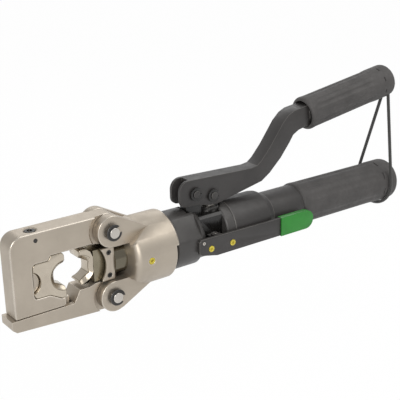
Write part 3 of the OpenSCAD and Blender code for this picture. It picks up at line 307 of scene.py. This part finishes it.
finishes = {
    # satin nickel plate, blasted before plating; its edges rubbed bright, and painted lighter as painted
    # highlight
    "nickel": finish("satin_nickel", (0.44, 0.39, 0.325), (0.49, 0.435, 0.365), (0.44, 0.52), 0.92,
                     grain=2600, depth=0.000012, waves=(220, 0.00002)),
    "nickel edge": finish("rubbed_nickel_edge_and_painted_highlight", (0.53, 0.48, 0.415), (0.60, 0.545, 0.475), (0.2, 0.3), 0.95,
                          grain=1800, depth=0.000008),
    "die": finish("ground_die_steel", (0.46, 0.405, 0.33), (0.55, 0.49, 0.405), (0.18, 0.28), 0.97,
                  grain=3000, depth=0.000008, stretch=(0.06, 1, 1)),
    # the dies' rounded edges darker than their faces: painted shade
    "die edge": finish("die_edge_painted_shade", (0.30, 0.26, 0.20), (0.38, 0.33, 0.26), (0.10, 0.18), 0.97,
                       grain=1800, depth=0.000005),
    "bright": finish("ground_steel", (0.50, 0.47, 0.43), (0.57, 0.54, 0.50), (0.18, 0.3), 0.97,
                     grain=2800, depth=0.000008, stretch=(1, 0.05, 1)),
    "bright edge": finish("polished_steel_edge", (0.62, 0.59, 0.55), (0.7, 0.67, 0.62), (0.12, 0.2), 0.97,
                          grain=1800, depth=0.000005),
    # the ram's steel darkened as painted dark reflection
    "rod": finish("ram_steel_painted_dark_reflection", (0.115, 0.101, 0.074), (0.155, 0.138, 0.104), (0.12, 0.2), 0.97,
                  grain=2600, depth=0.000006, stretch=(1, 0.06, 0.06)),
    # darker, browner steel than the head's nickel
    "carrier": finish("dark_brown_carrier_steel", (0.235, 0.208, 0.148), (0.31, 0.275, 0.205), (0.22, 0.32), 0.95,
                      grain=2600, depth=0.000008),
    "dark": finish("blackened_steel", (0.036, 0.035, 0.034), (0.06, 0.058, 0.056), (0.3, 0.42), 0.7,
                   grain=1500, depth=0.00001),
    "dark edge": finish("worn_black_edge", (0.12, 0.118, 0.115), (0.18, 0.176, 0.17), (0.25, 0.35), 0.8,
                        grain=1500, depth=0.000008),
    "black": finish("satin_black_paint", (0.0232, 0.0214, 0.0207), (0.0315, 0.0290, 0.0280), (0.40, 0.50),
                    grain=1900, depth=0.00002, waves=(420, 0.00003)),
    # a lighter copy of the black paint: painted light on the pump block's collar
    "collar": finish("collar_paint_lighter_painted_light", (0.0345, 0.0324, 0.031), (0.0465, 0.0438, 0.0419), (0.36, 0.46),
                     grain=1900, depth=0.00002, waves=(420, 0.00003)),
    # lighter edges: thin paint, and painted highlight
    "black edge": finish("thin_black_paint_edge_and_painted_highlight", (0.062, 0.058, 0.054), (0.090, 0.085, 0.079), (0.34, 0.42),
                         grain=1500, depth=0.00001),
    # near-black glossy steel: the pivot clips' own finish, and painted shade on the pump block's waist and
    # lug
    "oiled black and painted shade": finish("oiled_black_steel_and_painted_shade", (0.006, 0.0056, 0.0052), (0.010, 0.0094, 0.0088), (0.2, 0.3),
                          grain=2200, depth=0.000006),
    "rubber": finish("moulded_grip_rubber", (0.0420, 0.0395, 0.0384), (0.0585, 0.0550, 0.0535), (0.55, 0.7),
                     mottle=60, grain=1500, depth=0.00005, waves=(260, 0.00006)),
    "seal": finish("seal_rubber", (0.012, 0.012, 0.012), (0.02, 0.02, 0.02), (0.4, 0.5),
                   grain=1500, depth=0.00002),
    "green": finish("green_dipped_plastic", (0.006, 0.150, 0.008), (0.009, 0.185, 0.012), (0.36, 0.46),
                    mottle=50, grain=700, depth=0.00002, fixed={"Coat Weight": 0.1, "Coat Roughness": 0.25}),
    "varnish": finish("yellow_sealing_varnish", (0.36, 0.285, 0.012), (0.56, 0.465, 0.028), (0.3, 0.45), 0.15,
                      mottle=260, grain=900, depth=0.00008,
                      fixed={"Coat Weight": 0.5, "Coat Roughness": 0.15}),
}


def cord_finish():
    """Woven elastic: two sets of strands crossing along the cord's own length."""
    made = bpy.data.materials.new("woven_elastic")
    made.use_nodes = True
    tree = made.node_tree
    shader = tree.nodes["Principled BSDF"]
    shader.inputs["Sheen Weight"].default_value = 0.3
    shader.inputs["Sheen Roughness"].default_value = 0.5
    place = tree.nodes.new("ShaderNodeUVMap")
    place.uv_map = "weave"
    both = tree.nodes.new("ShaderNodeMath")
    both.operation = "MAXIMUM"
    for socket, lean in enumerate((1, -1)):
        lay = tree.nodes.new("ShaderNodeVectorMath")
        lay.operation = "DOT_PRODUCT"
        lay.inputs[1].default_value = (2 * math.pi * STRANDS, lean * 2 * math.pi * STRANDS, 0)
        strand = tree.nodes.new("ShaderNodeMath")
        strand.operation = "COSINE"
        tree.links.new(place.outputs["UV"], lay.inputs[0])
        tree.links.new(lay.outputs["Value"], strand.inputs[0])
        tree.links.new(strand.outputs[0], both.inputs[socket])
    yarn = spread(tree, both.outputs[0], 0, 1, -0.6, 1)
    tree.links.new(ramp(tree, yarn, (0.004, 0.004, 0.004), (0.055, 0.053, 0.050), 0.6, 1.0),
                   shader.inputs["Base Color"])
    tree.links.new(spread(tree, noise(tree, 900), 0.6, 0.75), shader.inputs["Roughness"])
    bumped(tree, shader, yarn, 0.00008)
    return made


finishes["cord"] = cord_finish()

FINISH_OF_SLOT = {
    "nickel_steel": "nickel", "bright_steel": "bright", "dark_steel": "dark", "black_metal": "black",
    "black_rubber": "rubber", "seal_rubber": "seal", "green_plastic": "green",
    "varnish_screw": "varnish", "cord": "cord",
}


def paint(piece, *names):
    """Gives the piece these finishes, in place of what it had."""
    piece.data.materials.clear()
    for name in names:
        piece.data.materials.append(finishes[name])


for node, solid in nodes.items():
    paint(solid, FINISH_OF_SLOT[slot_of_node[node]])
paint(retaining_loop, "cord")


# The imported solids' shapes, with rounded edges in their edge finishes: rubbed, and lighter as painted
# highlight on nickel and black paint, darker as painted shade on the dies

WELD, SLIVER = 0.002, 0.03


def plain_copy(node, name):
    """A free copy of the node's shape, its triangles joined into whole faces."""
    piece = nodes[node].copy()
    piece.data = nodes[node].data.copy()
    piece.name = name
    piece.parent = None
    for key in list(piece.keys()):
        del piece[key]
    bpy.context.scene.collection.objects.link(piece)
    edit(piece, "SELECT")
    bpy.ops.mesh.remove_doubles(threshold=WELD * MM)
    bpy.ops.mesh.dissolve_degenerate(threshold=WELD * MM)
    bpy.ops.mesh.dissolve_limited(angle_limit=math.radians(0.8))
    leave()
    return piece


def anywhere(x, y, z):
    return True


def round_edges(piece, width, segments=2, angle=28, clamp=True, where=anywhere):
    """Rounds the sharp edges whose middle passes the test.

    Without the clamp, small facets beside an edge don't make its rounding thinner.
    """
    edit(piece, "DESELECT", "EDGE")
    bpy.ops.mesh.edges_select_sharp(sharpness=math.radians(angle))
    leave()
    points = piece.data.vertices
    chosen = []
    for line in piece.data.edges:
        one, other = line.vertices
        if line.select and where(*((points[one].co + points[other].co) / 2 / MM)):
            chosen.append(line.index)
    edit(piece, "DESELECT", "EDGE")
    leave()
    for index in chosen:
        piece.data.edges[index].select = True
    bpy.ops.object.mode_set(mode="EDIT")
    bpy.ops.transform.edge_bevelweight(value=1)
    leave()
    apply_modifier(piece, "BEVEL", width=width * MM, segments=segments, limit_method="WEIGHT",
                   harden_normals=False, material=1, use_clamp_overlap=clamp,
                   miter_outer="MITER_ARC" if clamp else "MITER_SHARP", loop_slide=True)


def dress(node, name, look, width, segments=2, angle=28, clamp=True, where=anywhere, merge=0, flat=False):
    """The node's shape with its edges rounded and given their edge finish, in place of the node.

    Merge joins corners nearer than that, and flat keeps the big faces level.
    """
    piece = plain_copy(node, name)
    if merge:
        edit(piece, "SELECT")
        bpy.ops.mesh.remove_doubles(threshold=merge * MM)
        leave()
    # the edge finish: lighter as painted highlight on nickel and black paint, darker as painted shade on the
    # dies
    edge = look + " edge" if look + " edge" in finishes else look
    paint(piece, look, edge)
    if width:
        round_edges(piece, width, segments, angle, clamp, where)
    if flat:
        edit(piece, "SELECT")
        bpy.ops.mesh.dissolve_degenerate(threshold=SLIVER * MM)
        bpy.ops.mesh.dissolve_limited(angle_limit=math.radians(1.5), delimit={"MATERIAL"})
        leave()
    smooth(piece)
    if flat:
        apply_modifier(piece, "WEIGHTED_NORMAL", keep_sharp=True, weight=50)
    return settle(piece, body_of_node[node], slot_of_node[node], node)


# Metal pieces

BUTTON_X = 19.9
CROSS_PIN_Z = 31.8
LOCK_SCREW_X = 103.2


def on_fork_outside(x, y, z):
    """Its ears, its rear rim and its lock screw's hole, but not the roots of the ears or the bore."""
    ears = x < 84
    rear_rim = x > 120 and math.hypot(y, z) > 24
    screw_mouth = math.hypot(x - LOCK_SCREW_X, z) < 3 and y < -24
    return ears or rear_rim or screw_mouth


def on_jaw_outside(x, y, z):
    """All but the cross pin's near mouth, the button's bore, and where the knuckle meets the top."""
    pin_mouth = y < 0 and math.hypot(x - BUTTON_X, z - CROSS_PIN_Z) < 2.2
    bore = math.hypot(x - BUTTON_X, y) < 5.5 and z < 36.5
    knuckle_root = 64 < x < 72 and z > 36.5
    return not (pin_mouth or bore or knuckle_root)


def off_button_slot(x, y, z):
    """The die's near face and its nest, but not the slot and key at its back."""
    return y < -4 or x > 28.5


def off_stem(x, y, z):
    """The die in front of its stem."""
    return x < 62


dress("fork_barrel", "head_fork", "nickel", 0.6, 3, 40, clamp=False, where=on_fork_outside)
dress("upper_jaw", "jaw_frame", "nickel", 0.95, 3, 40, clamp=False, where=on_jaw_outside, flat=True)
dress("latch_arm", "latch", "nickel", 0.5, 2, 40, merge=0.1, flat=True)
dress("fixed_die", "front_die", "die", 0.4, 2, 30, clamp=False, where=off_button_slot)
dress("ram_die", "rear_die", "die", 0.4, 2, 30, clamp=False, where=off_stem)
dress("die_holder", "die_carrier", "carrier", 0.3)
dress("retainer_plate", "cover_plate", "nickel", 0.25)
dress("ram_piston", "ram", "rod", 0.4)
# The pump block wears the collar paint, a lighter copy of the black paint as painted light, with black edges,
# and its waist and lug are painted near-black as painted shade
pump_block = dress("pump_body", "pump_block", "black", 0.4)
pump_block.data.materials[0] = finishes["collar"]
pump_block.data.materials.append(finishes["oiled black and painted shade"])
# painted shade: the waist's and lug's faces take the near-black finish
for face in pump_block.data.polygons:
    x, y, z = face.center / MM
    waist = 156.5 < x < 178.5 and abs(z) < 17.5 and y > -18.5
    lug = 146 < x < 178 and z > 21 and abs(y) < 6
    if waist or lug:
        face.material_index = 2
dress("pump_lever", "lever_bar", "black", 0.7, 3)
dress("tank_housing", "tank", "black", 0.4)
dress("release_lever", "release_blade", "black", 0.3, 2, 40, clamp=False)
dress("release_lever_tip", "release_tip", "green", 1.3, 4)
dress("upper_hinge_pin", "hinge_pin_top", "bright", 0.4)
dress("lower_hinge_pin", "hinge_pin_low", "bright", 0.4)
dress("upper_hinge_clips", "clips_top", "dark", 0.15)
dress("lower_hinge_clips", "clips_low", "dark", 0.15)
dress("lever_pivot_pin", "pivot_pin", "black", 0.3)
dress("plunger_link_pin", "link_pin", "black", 0.3)
dress("pivot_pin_clips", "pivot_clips", "oiled black and painted shade", 0.12)
dress("link_pin_clips", "link_clips", "oiled black and painted shade", 0.12)
dress("die_button", "button", "dark", 0.25)
dress("plunger_gland", "gland_nut", "dark", 0.3)
dress("pump_plunger", "plunger", "bright", 0.3)
dress("plate_screws", "cover_screws", "dark", 0.15)
dress("barrel_lock_screw", "sealed_lock_screw", "varnish", 0.2)
dress("release_stop_screw", "sealed_stop_screw", "varnish", 0.25)
dress("release_valve_screw", "sealed_valve_screw", "varnish", 0.25)
dress("release_front_screw", "blade_screw", "bright", 0.15)
dress("release_hinge_pin", "blade_pin", "bright", 0.2)
dress("relief_valve_cartridge", "relief_cap", "dark", 0.25)


# Springs, in bright steel, each on a mesh of its own

def squeeze_spring(node, name, axis):
    """The spring's shape in bright steel, in place of its node, on a mesh of its own."""
    axis = Vector(axis)
    piece = dress(node, name, "bright", 0)
    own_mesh(piece)


squeeze_spring("ram_return_spring", "ram_spring", (1, 0, 0))
squeeze_spring("die_button_spring", "button_spring", (0, 0, 1))
squeeze_spring("release_spring", "blade_spring", (0, 1, 0))


# Rubber grips: drawn out ring by ring from the depth of the bore, over the lip and round the blunt end

SIDES = 144
FLUTES, FLUTE_DEPTH, FLUTE_FADE = 12, 0.8, 3
SLOTS, SLOT_DEPTH, SLOT_HALF = 8, 0.9, 0.6
DENT_R = 3.1


def curl(x, r, radius, first, last, steps=6):
    """Rings round a quarter or a half turn of a rounded edge, centred on x and r."""
    turns = [math.radians(first + (last - first) * i / steps) for i in range(steps + 1)]
    return [(x + radius * math.cos(a), r + radius * math.sin(a)) for a in turns]


def draw_out(name, rings):
    """A turned rubber body along X, closed at both ends."""
    deselect()
    bpy.ops.mesh.primitive_circle_add(vertices=SIDES, radius=rings[0][1] * MM, fill_type="NGON",
                                      location=(rings[0][0] * MM, 0, 0), rotation=(0, math.pi / 2, 0))
    piece = bpy.context.object
    piece.name = name
    bpy.ops.object.transform_apply(location=True, rotation=True, scale=True)
    edit(piece, "SELECT", "FACE")
    for (x0, r0), (x1, r1) in zip(rings, rings[1:]):
        bpy.ops.mesh.extrude_region_move(TRANSFORM_OT_translate={"value": ((x1 - x0) * MM, 0, 0)})
        bpy.ops.transform.resize(value=(1, r1 / r0, r1 / r0), center_override=(x1 * MM, 0, 0))
    bpy.ops.mesh.select_all(action="SELECT")
    bpy.ops.mesh.normals_make_consistent(inside=False)
    leave()
    return piece


def around(y, z):
    """The turn of a place round X, from straight up towards the near side, in degrees."""
    return math.degrees(math.atan2(-y, z)) % 360


def press_flutes(piece, start, end, r):
    """Shallow grooves along the grip, soft across and fading out at their ends."""
    edit(piece, "DESELECT", "VERT")
    pitch = SIDES // FLUTES
    for step, share in ((0, 1.0), (1, 0.95), (2, 0.75), (3, 0.25)):
        for fade, low, high in ((1.0, start + FLUTE_FADE, end - FLUTE_FADE), (0.5, start, end)):
            bpy.ops.mesh.select_all(action="DESELECT")
            leave()
            for point in piece.data.vertices:
                x, y, z = point.co / MM
                at_full_depth = start + FLUTE_FADE - 0.1 < x < end - FLUTE_FADE + 0.1
                ring = low <= x <= high and not (fade < 1 and at_full_depth)
                column = round(around(y, z) / (360 / SIDES))
                offset = (column + pitch // 2) % pitch - pitch // 2
                point.select = ring and abs(offset) == step and abs(math.hypot(y, z) - r) < 0.3
            bpy.ops.object.mode_set(mode="EDIT")
            k = 1 - FLUTE_DEPTH * share * fade / r
            bpy.ops.transform.resize(value=(1, k, k), center_override=(0, 0, 0))
    leave()


def press_slots(piece, middle, r, first, wide):
    """Short slots in a ring, pressed into the rubber with upright walls."""
    def in_slot(x, y, z):
        turn = (around(y, z) - first + wide / 2) % (360 / SLOTS)
        return abs(x - middle) < SLOT_HALF and turn < wide and math.hypot(y, z) > r - 0.5

    pick_faces(piece, in_slot)
    k = 1 - SLOT_DEPTH / r
    bpy.ops.mesh.extrude_region_move(TRANSFORM_OT_translate={"value": (0, 0, 0)})
    bpy.ops.transform.resize(value=(1, k, k), center_override=(0, 0, 0))
    leave()


def hollow_at(piece, at, radius):
    """A round dent, where the cord goes in."""
    deselect()
    bpy.ops.mesh.primitive_uv_sphere_add(segments=32, ring_count=16, radius=radius, location=at)
    ball = bpy.context.object
    apply_modifier(piece, "BOOLEAN", operation="DIFFERENCE", object=ball, solver="EXACT")
    bpy.data.objects.remove(ball)


def add_grip(node, name, long, r, rings, slot_at, first, wide, place=None, dents=()):
    """The rings of the bore and lip, then the fluted length, the bulb with its slots and the blunt end."""
    bulge = r + GRIP_BULB
    flute_start, flute_end = rings[-1][0] + 2, long - 27
    rings += [(flute_start, r), (flute_start + FLUTE_FADE, r), (flute_end - FLUTE_FADE, r), (flute_end, r)]
    rings += [(long - 23, r + 0.2), (long - 20, bulge)]
    rings += [(slot_at - SLOT_HALF, bulge), (slot_at + SLOT_HALF, bulge)]
    rings += curl(long - 5, bulge - 5, 5, 90, 0, 10) + [(long - 0.3, bulge - 8.5), (long - 0.4, 1.5)]
    piece = draw_out(name, rings)
    press_flutes(piece, flute_start, flute_end, r)
    press_slots(piece, slot_at, bulge, first, wide)
    if place:
        piece.matrix_world = place
    take(piece)
    bpy.ops.object.transform_apply(location=True, rotation=True, scale=True)
    for at in dents:
        hollow_at(piece, at, DENT_R * MM)
    round_edges(piece, 0.2, 2, 40)
    paint(piece, "rubber")
    smooth(piece, 40)
    return settle(piece, body_of_node[node], "black_rubber", node)


def add_grips():
    """The lever's grip, with a deep lip round the bar, and the tank's grip."""
    bore, mouth = 8.05, LEVER_GRIP_R - 2.8
    rings = [(LEVER_GRIP_LONG - 8, bore), (14, bore), (14, mouth), (2.6, mouth), (1.2, mouth + 0.1)]
    rings += curl(3.3, LEVER_GRIP_R - 2.7, 2.9, 176, 90, 10)
    rings += [(5, LEVER_GRIP_R + 0.15), (7, LEVER_GRIP_R)]
    place = Matrix.Translation(Vector((LEVER_GRIP[0], 0, LEVER_GRIP[1])) * MM)
    place = place @ Matrix.Rotation(-LEVER_GRIP_SLOPE, 4, "Y")
    cord_ends = (on_lever_grip(*CORD_NEAR) * MM, on_lever_grip(*CORD_FAR) * MM)
    add_grip("upper_grip", "lever_grip", LEVER_GRIP_LONG, LEVER_GRIP_R, rings, LEVER_GRIP_LONG - 13.5, 20, 15,
             place, cord_ends)
    bore = 14.05
    rings = [(TANK_GRIP_LONG - 8, bore), (0, bore), (0, TANK_GRIP_R - 2.9)]
    rings += curl(3.1, TANK_GRIP_R - 2.9, 3.1, 180, 90, 9)[1:]
    rings += [(4.5, TANK_GRIP_R + 0.2), (6.5, TANK_GRIP_R)]
    add_grip("lower_grip", "tank_grip", TANK_GRIP_LONG, TANK_GRIP_R, rings, TANK_GRIP_LONG - 18, 15, 20,
             Matrix.Translation((TANK_GRIP_X * MM, 0, 0)))


add_grips()


# Floor, backdrop and light

FLOOR_Z = -0.12


def paper(name, colour, share):
    """White studio paper: the camera and mirrors see it lit through, and it keeps the shadow."""
    made = bpy.data.materials.new(name)
    made.use_nodes = True
    tree = made.node_tree
    shader = tree.nodes["Principled BSDF"]
    shader.inputs["Base Color"].default_value = (*colour, 1)
    shader.inputs["Roughness"].default_value = 0.9
    glow = node_in(tree, "ShaderNodeEmission", Color=(1, 1, 1, 1), Strength=1.0)
    seen = tree.nodes.new("ShaderNodeLightPath")
    either = tree.nodes.new("ShaderNodeMath")
    either.operation = "MAXIMUM"
    tree.links.new(seen.outputs["Is Camera Ray"], either.inputs[0])
    tree.links.new(seen.outputs["Is Glossy Ray"], either.inputs[1])
    part = tree.nodes.new("ShaderNodeMath")
    part.operation = "MULTIPLY"
    part.inputs[1].default_value = share
    tree.links.new(either.outputs[0], part.inputs[0])
    mix = tree.nodes.new("ShaderNodeMixShader")
    tree.links.new(part.outputs[0], mix.inputs["Fac"])
    tree.links.new(shader.outputs[0], mix.inputs[1])
    tree.links.new(glow.outputs[0], mix.inputs[2])
    tree.links.new(mix.outputs[0], tree.nodes["Material Output"].inputs["Surface"])
    return made


def add_floor():
    deselect()
    bpy.ops.mesh.primitive_plane_add(size=12, location=(0.15, 0, FLOOR_Z))
    floor = bpy.context.object
    floor.name = "floor"
    floor.data.materials.append(paper("floor_paper", (0.86, 0.86, 0.86), 0.97))


def add_world():
    world = bpy.data.worlds.new("studio")
    bpy.context.scene.world = world
    world.use_nodes = True
    tree = world.node_tree
    background = tree.nodes["Background"]
    background.inputs["Color"].default_value = (1, 1, 1, 1)
    seen = tree.nodes.new("ShaderNodeLightPath")
    strength = spread(tree, seen.outputs["Is Camera Ray"], 0.66, 1.0, 0, 1)
    tree.links.new(strength, background.inputs["Strength"])


def add_lamp(name, at, aim, size, watts, colour=(1, 1, 1)):
    data = bpy.data.lights.new(name, "AREA")
    data.shape = "RECTANGLE"
    data.size, data.size_y = size
    data.energy = watts
    data.color = colour
    lamp = bpy.data.objects.new(name, data)
    lamp.location = at
    lamp.rotation_euler = (Vector(aim) - Vector(at)).to_track_quat("-Z", "Y").to_euler()
    bpy.context.scene.collection.objects.link(lamp)


MIDDLE = (0.17, 0, 0.02)
add_floor()
add_world()
add_lamp("top_softbox", (0.62, -0.4, 0.9), MIDDLE, (1.0, 0.9), 4.7, (1.0, 0.985, 0.96))
add_lamp("front_softbox", (-0.7, -0.9, 0.5), MIDDLE, (0.7, 0.7), 8.5, (1.0, 0.985, 0.965))
add_lamp("rear_strip", (0.6, 0.8, 0.6), MIDDLE, (0.8, 0.3), 1.4)

bpy.context.scene.view_settings.view_transform = "Standard"
